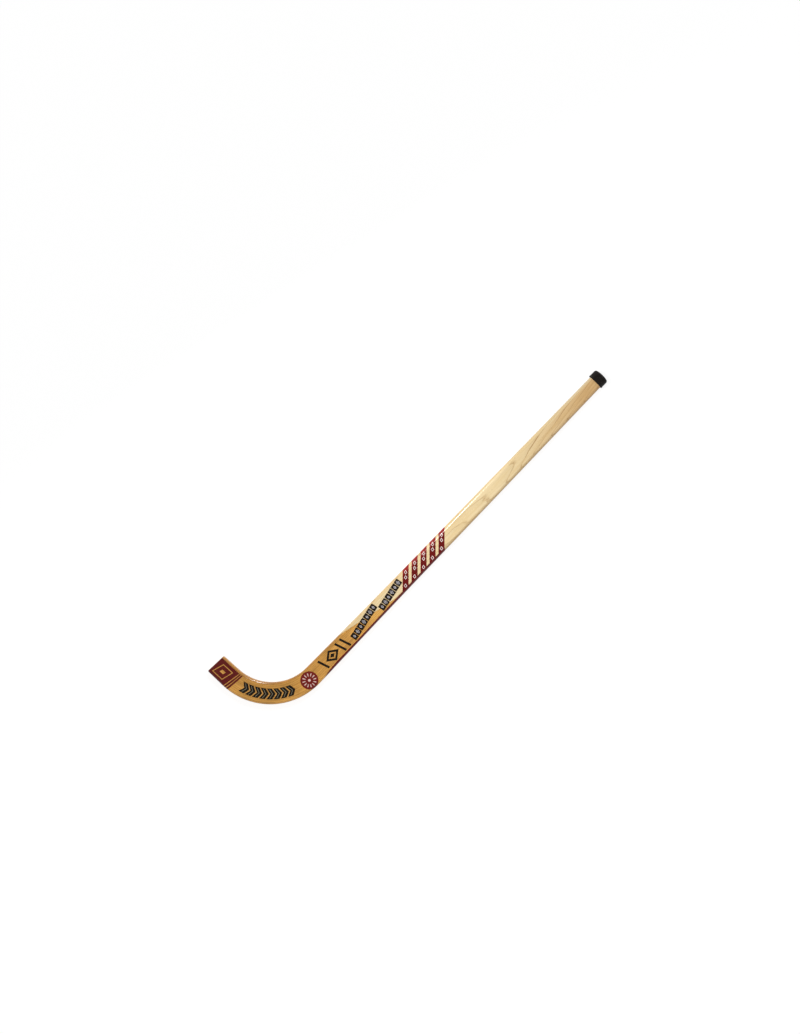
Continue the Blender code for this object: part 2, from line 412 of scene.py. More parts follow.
class Wires:
    """Adds nodes to one tree and joins their sockets."""

    def __init__(self, tree):
        self.tree = tree

    def feed(self, socket, value):
        """Links a socket to another one, or sets it to a plain value."""
        if isinstance(value, bpy.types.NodeSocket):
            self.tree.links.new(value, socket)
        else:
            socket.default_value = value

    def node(self, kind, inputs=None, **settings):
        made = self.tree.nodes.new(kind)
        column, row = len(self.tree.nodes) % 10, len(self.tree.nodes) // 10
        made.location = (220 * column, -260 * row)
        for name, value in settings.items():
            setattr(made, name, value)
        for name, value in (inputs or {}).items():
            self.feed(made.inputs[name], value)
        return made

    def math(self, operation, *values):
        return self.node("ShaderNodeMath", dict(enumerate(values)), operation=operation).outputs[0]

    def times(self, value, amount):
        return self.math("MULTIPLY", value, amount)

    def scale(self, vector, amount):
        """A colour or vector times a number."""
        inputs = {0: vector, "Scale": amount}
        return self.node("ShaderNodeVectorMath", inputs, operation="SCALE").outputs[0]

    def shift(self, place, by):
        return self.node("ShaderNodeVectorMath", {0: place, 1: by}, operation="ADD").outputs[0]

    def split(self, place):
        return self.node("ShaderNodeSeparateXYZ", {0: place}).outputs

    def combine(self, x, y, z):
        return self.node("ShaderNodeCombineXYZ", {0: x, 1: y, 2: z}).outputs[0]

    def patches(self, place, size, shift):
        """The place counted in patches of this size, in millimetres along, across and up.

        A texture of scale 1 then has patches that big.
        """
        per_mm = tuple(1 / side for side in size)
        inputs = {0: place, 1: per_mm, 2: shift}
        return self.node("ShaderNodeVectorMath", inputs, operation="MULTIPLY_ADD").outputs[0]

    def noise(self, place, size, detail=2.0, roughness=0.5, shift=NO_SHIFT):
        """Soft noise from 0 to 1 whose patches have this size."""
        counted = self.patches(place, size, shift)
        inputs = {"Vector": counted, "Scale": 1.0, "Detail": detail, "Roughness": roughness}
        return self.node("ShaderNodeTexNoise", inputs).outputs[0]

    def cells(self, place, size, shift=NO_SHIFT):
        """Distance to the nearest of many scattered points, and that point's random colour."""
        inputs = {"Vector": self.patches(place, size, shift), "Scale": 1.0, "Randomness": 1.0}
        return self.node("ShaderNodeTexVoronoi", inputs).outputs

    def step(self, value, start, end, low=0.0, high=1.0):
        """A soft step: low up to start, high from end on."""
        inputs = {0: value, 1: start, 2: end, 3: low, 4: high}
        return self.node("ShaderNodeMapRange", inputs, interpolation_type="SMOOTHSTEP").outputs[0]

    def spread(self, value, low, high):
        """Maps 0 to 1 onto low to high."""
        return self.node("ShaderNodeMapRange", {0: value, 3: low, 4: high}).outputs[0]

    def mix(self, share, first, second, how="MIX"):
        """Mixes two colours."""
        inputs = {0: share, 6: first, 7: second}
        return self.node("ShaderNodeMix", inputs, data_type="RGBA", blend_type=how).outputs[2]

    def group(self, tree, inputs):
        return self.node("ShaderNodeGroup", inputs, node_tree=tree).outputs


def start_group(name, takes, gives):
    """A new node group with named sockets: returns its wires, what comes in and where the results go."""
    tree = bpy.data.node_groups.new(name, "ShaderNodeTree")
    for title, kind, default in takes:
        socket = tree.interface.new_socket(name=title, in_out="INPUT", socket_type=SOCKET_KINDS[kind])
        socket.default_value = default
    for title, kind in gives:
        tree.interface.new_socket(name=title, in_out="OUTPUT", socket_type=SOCKET_KINDS[kind])
    wires = Wires(tree)
    return wires, wires.node("NodeGroupInput").outputs, wires.node("NodeGroupOutput").inputs


def make_stick_places():
    """Follows the stick: turns a position into millimetres along, across and up from the back face."""
    takes, gives = [("Position", "place", NO_SHIFT)], [("Place", "place")]
    wires, takes, gives = start_group("stick_places", takes, gives)
    x, y, z = wires.split(wires.scale(takes["Position"], 1 / MM))
    past_centre = wires.math("SUBTRACT", y, BEND_RADIUS)
    turn = wires.math("ARCTAN2", wires.times(x, -1), wires.times(past_centre, -1))
    turn = wires.math("MINIMUM", wires.math("MAXIMUM", turn, 0), BEND_ANGLE)
    sine, cosine = wires.math("SINE", turn), wires.math("COSINE", turn)
    across = wires.math("MULTIPLY_ADD", x, sine, BEND_RADIUS)
    across = wires.math("MULTIPLY_ADD", past_centre, cosine, across)
    along = wires.times(turn, -BEND_RADIUS)
    along = wires.math("MULTIPLY_ADD", x, cosine, along)
    along = wires.math("SUBTRACT", along, wires.times(past_centre, sine))
    wires.feed(gives["Place"], wires.combine(along, across, z))
    return wires.tree


def make_wood_grain():
    """Ring-porous wood: rings with open pores at their start, fine fibres and slow streaks."""
    takes = [
        ("Place", "place", NO_SHIFT),
        ("Ring Distance", "value", 0.0),
        ("Ring Width", "value", 2.5),
        ("Pale Colour", "colour", WHITE),
        ("Ring Colour", "colour", WHITE),
        ("Streak Colour", "colour", WHITE),
        ("Pore Colour", "colour", WHITE),
        ("Ring Strength", "value", 0.6),
    ]
    gives = [("Colour", "colour"), ("Roughness", "value"), ("Height", "value")]
    wires, takes, gives = start_group("wood_grain", takes, gives)
    place = takes["Place"]
    rings = wires.math("DIVIDE", takes["Ring Distance"], takes["Ring Width"])
    number, part = wires.math("FLOOR", rings), wires.math("FRACT", rings)
    vigour = wires.node("ShaderNodeTexWhiteNoise", {"W": number}, noise_dimensions="1D").outputs["Value"]
    vigour = wires.spread(vigour, 0.4, 1.0)
    opening = wires.step(part, 0.97, 1.0)
    early = wires.math("MAXIMUM", wires.step(part, 0.02, 0.17, 1.0, 0.0), opening)
    ring_tone = wires.times(wires.times(early, vigour), takes["Ring Strength"])
    late = wires.times(wires.step(part, 0.5, 0.93), wires.math("SUBTRACT", 1.0, opening))
    long_pores = wires.cells(place, (6.5, 0.34, 0.34))
    short_pores = wires.cells(place, (2.4, 0.26, 0.26), (5.3, 2.1, 7.7))
    open_pores = wires.step(long_pores["Distance"], 0.16, 0.34, 1.0, 0.0)
    open_pores = wires.times(open_pores, wires.step(early, 0.15, 0.85))
    scarce = wires.step(wires.split(short_pores["Color"])[0], 0.84, 0.9)
    small_pores = wires.step(short_pores["Distance"], 0.12, 0.3, 0.6, 0.0)
    small_pores = wires.times(small_pores, scarce)
    pores = wires.math("MAXIMUM", open_pores, small_pores)
    fibres = wires.noise(place, (30.0, 0.7, 0.7), detail=3.0, roughness=0.6)
    threads = wires.noise(place, (9.0, 0.16, 0.16), detail=2.0, roughness=0.5, shift=(3.0, 8.0, 1.0))
    streaks = wires.noise(place, (120.0, 5.0, 6.0), detail=3.0)
    tone = wires.mix(ring_tone, takes["Pale Colour"], takes["Ring Colour"])
    tone = wires.mix(wires.step(streaks, 0.42, 0.68, 0.0, 0.75), tone, takes["Streak Colour"])
    tone = wires.mix(wires.times(pores, 0.6), tone, takes["Pore Colour"])
    shade = wires.times(wires.spread(fibres, 0.9, 1.1), wires.spread(threads, 0.95, 1.05))
    shade = wires.math("MULTIPLY_ADD", late, -0.05, shade)
    pits = wires.times(pores, -1.0)
    wires.feed(gives["Colour"], wires.scale(tone, shade))
    wires.feed(gives["Roughness"], wires.math("MULTIPLY_ADD", pores, 0.2, 0.42))
    wires.feed(gives["Height"], wires.math("MULTIPLY_ADD", fibres, 0.25, pits))
    return wires.tree


def make_handling():
    """What use leaves on a finish: hair scratches, dull smears, a little dust and a worn gloss."""
    takes = [("Place", "place", NO_SHIFT), ("Amount", "value", 1.0)]
    gives = [("Scratches", "value"), ("Smears", "value"), ("Dust", "value"), ("Worn Gloss", "value")]
    wires, takes, gives = start_group("handling", takes, gives)
    place = takes["Place"]
    bend = wires.combine(wires.noise(place, (30.0,) * 3), wires.noise(place, (22.0,) * 3), 0.0)
    bent = wires.shift(place, wires.scale(bend, 9.0))
    hairs = wires.step(wires.cells(bent, (34.0, 0.9, 5.0))["Distance"], 0.0, 0.05, 1.0, 0.0)
    cross_cells = wires.cells(bent, (0.8, 21.0, 5.0), (3.0, 1.0, 4.0))
    cross_hairs = wires.step(cross_cells["Distance"], 0.0, 0.045, 1.0, 0.0)
    smears = wires.step(wires.noise(place, (55.0, 16.0, 16.0), detail=4.0, roughness=0.62), 0.42, 0.72)
    specks = wires.cells(place, (2.6, 2.6, 2.6))
    few = wires.step(wires.split(specks["Color"])[1], 0.9, 0.93)
    dust = wires.times(wires.step(specks["Distance"], 0.03, 0.09, 1.0, 0.0), few)
    scratches = wires.math("MAXIMUM", hairs, cross_hairs)
    worn = wires.math("MULTIPLY_ADD", scratches, 0.3, wires.times(smears, 0.25))
    masks = {"Scratches": scratches, "Smears": smears, "Dust": dust, "Worn Gloss": worn}
    for title, mask in masks.items():
        wires.feed(gives[title], wires.times(mask, takes["Amount"]))
    return wires.tree


def make_screen_ink():
    """Ink pressed on through a mesh: a little mottled, thin over open grain, with the odd pinhole."""
    takes = [
        ("Place", "place", NO_SHIFT),
        ("Ink Colour", "colour", WHITE),
        ("Wood Colour", "colour", WHITE),
        ("Thinness", "value", 0.25),
    ]
    wires, takes, gives = start_group("screen_ink", takes, [("Colour", "colour"), ("Height", "value")])
    place = takes["Place"]
    mottle = wires.noise(place, (9.0, 5.0, 5.0), detail=3.0)
    grain = wires.noise(place, (14.0, 0.5, 0.5), detail=3.0, roughness=0.6)
    pinholes = wires.cells(place, (0.9, 0.45, 0.45))
    few = wires.step(wires.split(pinholes["Color"])[2], 0.93, 0.96)
    holes = wires.times(wires.step(pinholes["Distance"], 0.1, 0.22, 1.0, 0.0), few)
    thin = wires.math("MAXIMUM", wires.step(grain, 0.5, 0.78), holes)
    ink = wires.scale(takes["Ink Colour"], wires.spread(mottle, 0.72, 1.28))
    bare = wires.times(thin, takes["Thinness"])
    wires.feed(gives["Colour"], wires.mix(bare, ink, takes["Wood Colour"]))
    wires.feed(gives["Height"], wires.math("SUBTRACT", wires.times(grain, -0.6), holes))
    return wires.tree


STICK_PLACES = make_stick_places()
WOOD_GRAIN = make_wood_grain()
HANDLING = make_handling()
SCREEN_INK = make_screen_ink()


def start_material(name):
    """A new material: its wires, its Principled shader, and the place on the stick in millimetres."""
    material = bpy.data.materials.new(name)
    material.use_nodes = True
    wires = Wires(material.node_tree)
    position = wires.node("ShaderNodeTexCoord").outputs["Object"]
    place = wires.group(STICK_PLACES, {"Position": position})["Place"]
    return material, wires, material.node_tree.nodes["Principled BSDF"], place


VARNISH_ROUGHNESS = 0.18
VARNISH_INDEX = 1.5
SHINE_UNDER_VARNISH = 0.05


def varnish(wires, shader, place, gloss, wear):
    """A clear gloss coat, dulled where it has been handled; returns what use has left on it.

    What lies under the varnish hardly shines of itself.
    """
    marks = wires.group(HANDLING, {"Place": place, "Amount": wear})
    wires.feed(shader.inputs["Coat Weight"], wires.math("SUBTRACT", gloss, marks["Worn Gloss"]))
    shader.inputs["Coat Roughness"].default_value = VARNISH_ROUGHNESS
    shader.inputs["Coat IOR"].default_value = VARNISH_INDEX
    shader.inputs["Specular IOR Level"].default_value = SHINE_UNDER_VARNISH
    return marks


def relief(wires, shader, height, depth):
    """Bumps the surface by a height map whose 0 to 1 stands for this depth in millimetres."""
    bump = wires.node("ShaderNodeBump", {"Height": height, "Distance": depth * MM})
    wires.feed(shader.inputs["Normal"], bump.outputs["Normal"])


GRAIN_DEPTH = 0.05

ASH_PALE = srgb(243, 220, 173)
ASH_RING = srgb(176, 136, 82)
ASH_STREAK = srgb(233, 205, 152)
ASH_TAN = srgb(240, 186, 96)
# The colour of the painted shade along the ash's rounded edges.
ASH_PAINTED_SHADE = srgb(216, 184, 132)
ASH_PORE = srgb(146, 108, 62)
ASH_RING_WIDTH = 2.5

# Where the ash turns tan towards the butt, and where painted shade darkens it towards its outer and
# inner edges.
TAN_REACH = (550.0, 850.0)
OUTER_PAINTED_SHADE_REACH = (-17.0, -9.5)
INNER_PAINTED_SHADE_REACH = (11.5, 16.5)

# The heart line that the ash's rings lie round, and how it drifts up the shaft, less so past the turn.
HEART_START = 550.0
HEART_TURN = 640.0
HEART_ACROSS = (3.0, 0.1)
HEART_DEPTH = 60.0
HEART_SINKS = (0.04, 0.018)


def make_ash():
    """Flat-sawn white ash under gloss varnish: tan towards the butt, with painted shade along its edges.
    """
    material, wires, shader, place = start_material("varnished_ash")
    along, across, height = wires.split(place)
    past_start = wires.math("SUBTRACT", along, HEART_START)
    past_turn = wires.math("MAXIMUM", wires.math("SUBTRACT", along, HEART_TURN), 0.0)
    heart_across = wires.math("MULTIPLY_ADD", past_start, HEART_ACROSS[1], HEART_ACROSS[0])
    heart_height = wires.math("MULTIPLY_ADD", past_start, -HEART_SINKS[0], BLADE_THICKNESS - HEART_DEPTH)
    heart_height = wires.math("MULTIPLY_ADD", past_turn, HEART_SINKS[0] - HEART_SINKS[1], heart_height)
    sideways = wires.math("SUBTRACT", across, heart_across)
    upwards = wires.math("SUBTRACT", height, heart_height)
    from_heart = wires.combine(0.0, sideways, upwards)
    distance = wires.node("ShaderNodeVectorMath", {0: from_heart}, operation="LENGTH").outputs["Value"]
    wander = wires.noise(place, (150.0, 30.0, 30.0), detail=2.0)
    quiver = wires.noise(place, (26.0, 7.0, 7.0), detail=2.0)
    distance = wires.math("ADD", distance, wires.spread(wander, -1.7, 1.7))
    distance = wires.math("ADD", distance, wires.spread(quiver, -0.25, 0.25))
    grain = {
        "Place": place,
        "Ring Distance": distance,
        "Ring Width": ASH_RING_WIDTH,
        "Pale Colour": ASH_PALE,
        "Ring Colour": ASH_RING,
        "Streak Colour": ASH_STREAK,
        "Pore Colour": ASH_PORE,
        "Ring Strength": 0.9,
    }
    wood = wires.group(WOOD_GRAIN, grain)
    towards_butt = wires.step(along, *TAN_REACH)
    edge_wander = wires.noise(place, (70.0, 8.0, 8.0), shift=(4.0, 0.0, 2.0))
    off_inner_edge = wires.math("SUBTRACT", wires.spread(edge_wander, 6.0, 13.0), across)
    tan_share = wires.times(towards_butt, wires.step(off_inner_edge, -2.0, 2.5, 0.1, 0.46))
    tanned = wires.mix(tan_share, wood["Colour"], ASH_TAN, "MULTIPLY")
    # Painted shade: the ash is darker towards its outer edge, and towards its inner edge near the heel.
    outer_painted_shade = wires.step(across, *OUTER_PAINTED_SHADE_REACH, 0.7, 0.0)
    inner_painted_shade = wires.step(across, *INNER_PAINTED_SHADE_REACH)
    inner_painted_shade = wires.times(inner_painted_shade, wires.spread(towards_butt, 0.35, 0.0))
    colour = wires.mix(outer_painted_shade, tanned, ASH_PAINTED_SHADE, "MULTIPLY")
    colour = wires.mix(inner_painted_shade, colour, ASH_PAINTED_SHADE, "MULTIPLY")
    marks = varnish(wires, shader, place, 0.9, 0.5)
    colour = wires.mix(wires.times(marks["Smears"], 0.1), colour, ASH_STREAK)
    wires.feed(shader.inputs["Base Color"], colour)
    wires.feed(shader.inputs["Roughness"], wood["Roughness"])
    relief(wires, shader, wood["Height"], GRAIN_DEPTH)
    return material


HONEY_PALE = srgb(230, 170, 85)
HONEY_RING = srgb(192, 131, 56)
HONEY_STREAK = srgb(204, 146, 65)
HONEY_PORE = srgb(130, 82, 28)
# The colour of the painted shade along the plies' inner edge.
HONEY_PAINTED_SHADE = srgb(205, 185, 150)
GOLDEN = srgb(240, 188, 98)
HONEY_RING_WIDTH = 2.1

# How much the rings of a ply shift for each millimetre up from its back face.
HONEY_RING_TILT = 0.4

# Where the honey turns golden towards the splice, and where painted shade darkens it towards the inner
# edge.
GOLDEN_REACH = (125.0, 200.0)
HONEY_PAINTED_SHADE_REACH = (15.5, 20.0)


def make_honey_ply(number, tint, lean, shift):
    """One bent ply, stained honey; each has its own tint and its own run of grain."""
    material, wires, shader, place = start_material(f"honey_ply_{number:02d}")
    own_place = wires.shift(place, shift)
    along, across, height = wires.split(own_place)
    distance = wires.math("MULTIPLY_ADD", along, lean, across)
    distance = wires.math("MULTIPLY_ADD", height, HONEY_RING_TILT, distance)
    wander = wires.noise(own_place, (90.0, 9.0, 14.0), detail=2.0)
    distance = wires.math("ADD", distance, wires.spread(wander, -2.2, 2.2))
    grain = {
        "Place": own_place,
        "Ring Distance": distance,
        "Ring Width": HONEY_RING_WIDTH,
        "Pale Colour": HONEY_PALE,
        "Ring Colour": HONEY_RING,
        "Streak Colour": HONEY_STREAK,
        "Pore Colour": HONEY_PORE,
        "Ring Strength": 0.6,
    }
    wood = wires.group(WOOD_GRAIN, grain)
    marks = varnish(wires, shader, place, 0.95, 0.8)
    cloudy = wires.noise(place, (38.0, 11.0, 11.0), detail=1.0)
    colour = wires.scale(wood["Colour"], wires.times(wires.spread(cloudy, 0.56, 1.44), tint))
    stick_along, stick_across, _ = wires.split(place)
    colour = wires.mix(wires.step(stick_along, *GOLDEN_REACH, 0.0, 0.45), colour, GOLDEN)
    # Painted shade: the ply is darker towards the inner edge.
    shade = wires.step(stick_across, *HONEY_PAINTED_SHADE_REACH, 0.0, 0.6)
    colour = wires.mix(shade, colour, HONEY_PAINTED_SHADE, "MULTIPLY")
    colour = wires.mix(wires.times(marks["Smears"], 0.12), colour, HONEY_STREAK)
    wires.feed(shader.inputs["Base Color"], colour)
    wires.feed(shader.inputs["Roughness"], wood["Roughness"])
    relief(wires, shader, wood["Height"], GRAIN_DEPTH)
    return material


GLUE_DARK = srgb(118, 70, 26)
GLUE_LIGHT = srgb(166, 112, 50)
GLUE_BUBBLE = srgb(190, 140, 74)


def make_glue():
    """Dark resin glue in the joints, with small bubbles."""
    material, wires, shader, place = start_material("resin_glue")
    bubbles = wires.cells(place, (1.1, 0.5, 0.5))
    bubble = wires.step(bubbles["Distance"], 0.1, 0.3, 1.0, 0.0)
    thickness = wires.noise(place, (14.0, 3.0, 3.0), detail=3.0)
    colour = wires.mix(thickness, GLUE_DARK, GLUE_LIGHT)
    colour = wires.mix(wires.times(bubble, 0.5), colour, GLUE_BUBBLE)
    wires.feed(shader.inputs["Base Color"], colour)
    wires.feed(shader.inputs["Roughness"], wires.spread(thickness, 0.25, 0.45))
    relief(wires, shader, wires.math("SUBTRACT", thickness, bubble), 0.03)
    shader.inputs["Coat Weight"].default_value = 0.6
    return material


# Where an ink turns to its painted light colour towards the inner edge.
PAINTED_INK_LIGHT_REACH = (5.0, 17.0)


def make_ink(name, colour, wood_colour, thinness, painted_light_colour=None):
    """One screen-print ink under the wood's varnish; it may be painted lighter towards the inner edge,
    as painted light.
    """
    material, wires, shader, place = start_material(name)
    if painted_light_colour:
        painted_light_share = wires.step(wires.split(place)[1], *PAINTED_INK_LIGHT_REACH)
        colour = wires.mix(painted_light_share, colour, painted_light_colour)
    inputs = {"Place": place, "Ink Colour": colour, "Wood Colour": wood_colour, "Thinness": thinness}
    ink = wires.group(SCREEN_INK, inputs)
    marks = varnish(wires, shader, place, 0.65, 0.8)
    worn = wires.times(marks["Scratches"], 0.35)
    wires.feed(shader.inputs["Base Color"], wires.mix(worn, ink["Colour"], wood_colour))
    wires.feed(shader.inputs["Roughness"], wires.math("MULTIPLY_ADD", ink["Height"], 0.1, 0.5))
    relief(wires, shader, ink["Height"], 0.012)
    return material


RUBBER_DARK = srgb(13, 10, 9)
RUBBER_GREY = srgb(31, 25, 22)
RUBBER_SCUFF = srgb(112, 106, 98)
RUBBER_DUST = srgb(120, 114, 106)


def make_rubber():
    """Moulded black rubber: fine matt grain, specks of dust and a few pale scuffs."""
    material, wires, shader, place = start_material("moulded_rubber")
    marks = wires.group(HANDLING, {"Place": place, "Amount": 1.0})
    grain = wires.noise(place, (0.5, 0.5, 0.5), detail=4.0, roughness=0.65)
    cloud = wires.noise(place, (7.0, 7.0, 7.0), detail=4.0)
    rubbed = wires.noise(place, (3.2, 1.1, 3.0), detail=4.0, roughness=0.7)
    scuffs = wires.times(wires.step(rubbed, 0.57, 0.7), wires.step(cloud, 0.4, 0.6))
    colour = wires.mix(cloud, RUBBER_DARK, RUBBER_GREY)
    colour = wires.mix(wires.times(scuffs, 0.45), colour, RUBBER_SCUFF)
    colour = wires.mix(wires.times(marks["Dust"], 0.5), colour, RUBBER_DUST)
    wires.feed(shader.inputs["Base Color"], colour)
    rough = wires.math("MULTIPLY_ADD", grain, 0.2, 0.42)
    wires.feed(shader.inputs["Roughness"], wires.math("MULTIPLY_ADD", scuffs, 0.2, rough))
    relief(wires, shader, wires.math("MULTIPLY_ADD", scuffs, -0.6, grain), 0.06)
    shader.inputs["Specular IOR Level"].default_value = 0.2
    return material


# The inks.
MAROON = srgb(104, 24, 24)
ROUNDEL_RED = srgb(124, 30, 26)
DARK_RED = srgb(106, 8, 7)
# The red ink's painted light towards the inner edge.
PAINTED_LIGHT_RED = srgb(156, 28, 24)
INK_BLACK = srgb(26, 18, 12)
LINE_GREY = srgb(150, 146, 122)
MARK_WHITE = srgb(250, 234, 228)
MARK_PINK = srgb(240, 206, 194)
TILE_GREY = srgb(200, 196, 200)


# Pieces.

# Each ply's own tint, the lean of its rings along the stick, and how far its grain is moved.
PLY_TINTS = (0.93, 1.07)
PLY_LEANS = (-0.02, 0.02)
PLY_SHIFTS = ((0, 900), (0, 60), (0, 60))

# How near corners are joined, in metres, and from which turn an edge stays crisp.
WELD_REACH = 1e-5
CRISP_EDGE = radians(34)


def dress_cad_piece(name, material):
    """Gives a CAD piece its finish and smooth shading; its shape stays."""
    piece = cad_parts[name]
    piece.material_slots[0].material = material
    data = piece.data
    for layer in ("custom_normal", "sharp_face", "sharp_edge"):
        if layer in data.attributes:
            data.attributes.remove(data.attributes[layer])
    data.shade_smooth()
    weld = piece.modifiers.new("joined_corners", "WELD")
    weld.merge_threshold = WELD_REACH
    split = piece.modifiers.new("crisp_edges", "EDGE_SPLIT")
    split.split_angle = CRISP_EDGE
    even = piece.modifiers.new("flat_faces_stay_flat", "WEIGHTED_NORMAL")
    even.keep_sharp = True


def dress_cad_pieces():
    chance = random.Random(7)
    for number in range(1, PLY_COUNT + 1):
        tint = chance.uniform(*PLY_TINTS)
        lean = chance.uniform(*PLY_LEANS)
        shift = tuple(chance.uniform(*reach) for reach in PLY_SHIFTS)
        dress_cad_piece(f"blade_ply_{number:02d}", make_honey_ply(number, tint, lean, shift))
    dress_cad_piece("handle", make_ash())
    dress_cad_piece("butt_cap", make_rubber())


def splice_across(along):
    """Where the sloping splice crosses the face."""
    inner, outer = half_width(SPLICE_START), -half_width(SPLICE_END)
    return straight_value(SPLICE_START, inner, SPLICE_END, outer, along)


def splice_place(across):
    """How far along the stick the splice crosses this distance across."""
    inner, outer = half_width(SPLICE_START), -half_width(SPLICE_END)
    return SPLICE_START + (SPLICE_END - SPLICE_START) * (across - inner) / (outer - inner)


def glue_section(middle, side, rise):
    """A thin upright section of glue about its middle."""
    return [middle + side + rise, middle - side + rise, middle - side - rise, middle + side - rise]


def ply_glue_section(along, across, inset):
    """A section of the glue between two plies."""
    middle, inward, _ = middle_at(along)
    rise = Vector((0, 0, half_height(along, across, inset) - GLUE_RECESS))
    return glue_section(middle + inward * across, inward * GLUE_THICKNESS / 2, rise)


def ply_glue_mesh(number):
    """The glue between one ply and the next, from the toe to where the splice cuts them."""

    def across_at(along):
        return half_width(along) * (1 - 2 * number / PLY_COUNT)

    end = SPLICE_START
    for _ in range(SPLICE_SEARCH_ROUNDS):
        end = splice_place(across_at(end))
    shaft_places = [SPLICE_END * step / SPLICE_STEPS for step in range(1, SPLICE_STEPS + 1)]
    shaft_places = [place for place in shaft_places if place < end - SHORTEST_GLUE_STEP]
    stops = [(TOE_END + back, inset) for back, inset in GLUE_TOE_STOPS]
    stops += [(place, 0.0) for place in BEND_PLACES + shaft_places + [end]]
    rings = [ply_glue_section(along, across_at(along), inset) for along, inset in stops]
    return loft_mesh(f"ply_glue_{number:02d}", rings)


def splice_glue_mesh():
    """The glue in the long splice between the blade and the handle, with shorter steps at its ends."""
    slope = Vector((SPLICE_END - SPLICE_START, -half_width(SPLICE_END) - half_width(SPLICE_START), 0))
    side = Vector((-slope.y, slope.x, 0)).normalized() * GLUE_THICKNESS / 2
    rings = []
    for step in range(1, SPLICE_GLUE_STEPS):
        share = (1 - cos(pi * step / SPLICE_GLUE_STEPS)) / 2
        along = SPLICE_START + (SPLICE_END - SPLICE_START) * share
        across = splice_across(along)
        middle = Vector((along, across, BLADE_THICKNESS / 2))
        rise = Vector((0, 0, half_height(along, across) - GLUE_RECESS / 2))
        rings.append(glue_section(middle, side, rise))
    return loft_mesh("splice_glue", rings)


def add_glue():
    glue = make_glue()
    for number in range(1, PLY_COUNT):
        add_piece(f"ply_glue_{number:02d}", ply_glue_mesh(number), glue)
    add_piece("splice_glue", splice_glue_mesh(), glue)


# The panel at the toe: maroon, its slanting inner end set off by two bare pinstripes.
PANEL_START = TOE_END + 0.25
PANEL_OUTER, PANEL_INNER = -31.0, 17.6
PANEL_END_OUTER, PANEL_END_INNER = -179.0, -168.0
PANEL_STRIPE = 3.6
PANEL_PINSTRIPE = 1.5

# Its nested lozenges: their middle, and the length, height and lean of each.
LOZENGE_MIDDLE = (-206.5, -2.5)
LOZENGES = ((27.0, 26.0, 3.4), (23.6, 22.6, 3.0), (9.0, 6.5, 0.9))


def panel_end(around, back):
    """The slanting end of the toe panel, moved back towards the toe."""
    return straight_value(PANEL_OUTER, PANEL_END_OUTER, PANEL_INNER, PANEL_END_INNER, around) - back


def slanting_strip(back, width):
    """A strip of the toe panel that lies along its slanting end."""
    outer = [(panel_end(PANEL_OUTER, reach), PANEL_OUTER) for reach in (back + width, back)]
    inner = [(panel_end(PANEL_INNER, reach), PANEL_INNER) for reach in (back, back + width)]
    return outer + inner


def add_toe_panel():
    ink = make_ink("maroon_ink", MAROON, HONEY_PALE, 0.12)
    pitch = PANEL_STRIPE + PANEL_PINSTRIPE
    body = [(PANEL_START, PANEL_OUTER), (panel_end(PANEL_OUTER, 2 * pitch), PANEL_OUTER)]
    body += [(panel_end(PANEL_INNER, 2 * pitch), PANEL_INNER), (PANEL_START, PANEL_INNER)]
    lozenges = [box_loop(*LOZENGE_MIDDLE, *form) for form in LOZENGES]
    shapes = [[slanting_strip(0, PANEL_STRIPE)], [slanting_strip(pitch, PANEL_STRIPE)]]
    shapes += [[body, lozenges[0]], [lozenges[1], lozenges[2]]]
    add_print("toe_panel", shapes, FIRST_COAT, ink)


# The chevrons round the bend, and the lines along their middles.
CHEVRON_COUNT = 8
CHEVRON_PITCH = 13.7
CHEVRONS_START = -150.5
CHEVRON_ROW = -1.2
CHEVRON_HEIGHT = 22.0
CHEVRON_POINT = 7.5
CHEVRON_THICKNESS = 11.0
CHEVRON_LINE_HEIGHT = 18.0
CHEVRON_LINE_THICKNESS = 1.0


def chevron_row(height, thickness):
    """The row of chevrons round the bend; their sides slant alike whatever their height."""
    point = CHEVRON_POINT * height / CHEVRON_HEIGHT
    places = [CHEVRONS_START + CHEVRON_PITCH * k for k in range(CHEVRON_COUNT)]
    return [[chevron_loop(place, CHEVRON_ROW, point, height, thickness)] for place in places]


def add_chevrons(black, grey):
    bodies = chevron_row(CHEVRON_HEIGHT, CHEVRON_THICKNESS)
    lines = chevron_row(CHEVRON_LINE_HEIGHT, CHEVRON_LINE_THICKNESS)
    add_print("bend_chevrons", bodies, FIRST_COAT, black)
    add_print("bend_chevron_lines", lines, SECOND_COAT, grey)


# The roundel at the heel; its dashes reach from an inner to an outer distance and widen on the way.
ROUNDEL_MIDDLE = (-12.4, -1.5)
ROUNDEL_RADIUS = 18.6
ROUNDEL_STEPS = 64
ROUNDEL_HUB_RADIUS = 2.8
ROUNDEL_HUB_STEPS = 24
DASH_COUNT = 12
DASH_REACH = (8.2, 14.4)
DASH_HALF_WIDTHS = (0.7, 1.1)


def plan_circle(radius, steps):
    """A true circle in plan about the roundel's middle."""
    turns = [2 * pi * step / steps for step in range(steps)]
    x, y = ROUNDEL_MIDDLE
    return [from_plan(x + radius * cos(turn), y + radius * sin(turn)) for turn in turns]


def roundel_dash(turn):
    """A short dash of the roundel, a little wider outside."""
    direction = Vector((cos(turn), sin(turn)))
    square = Vector((-direction.y, direction.x))
    inner, outer = (Vector(ROUNDEL_MIDDLE) + direction * reach for reach in DASH_REACH)
    inner_side, outer_side = (square * half for half in DASH_HALF_WIDTHS)
    corners = (inner - inner_side, outer - outer_side, outer + outer_side, inner + inner_side)
    return [from_plan(*corner) for corner in corners]


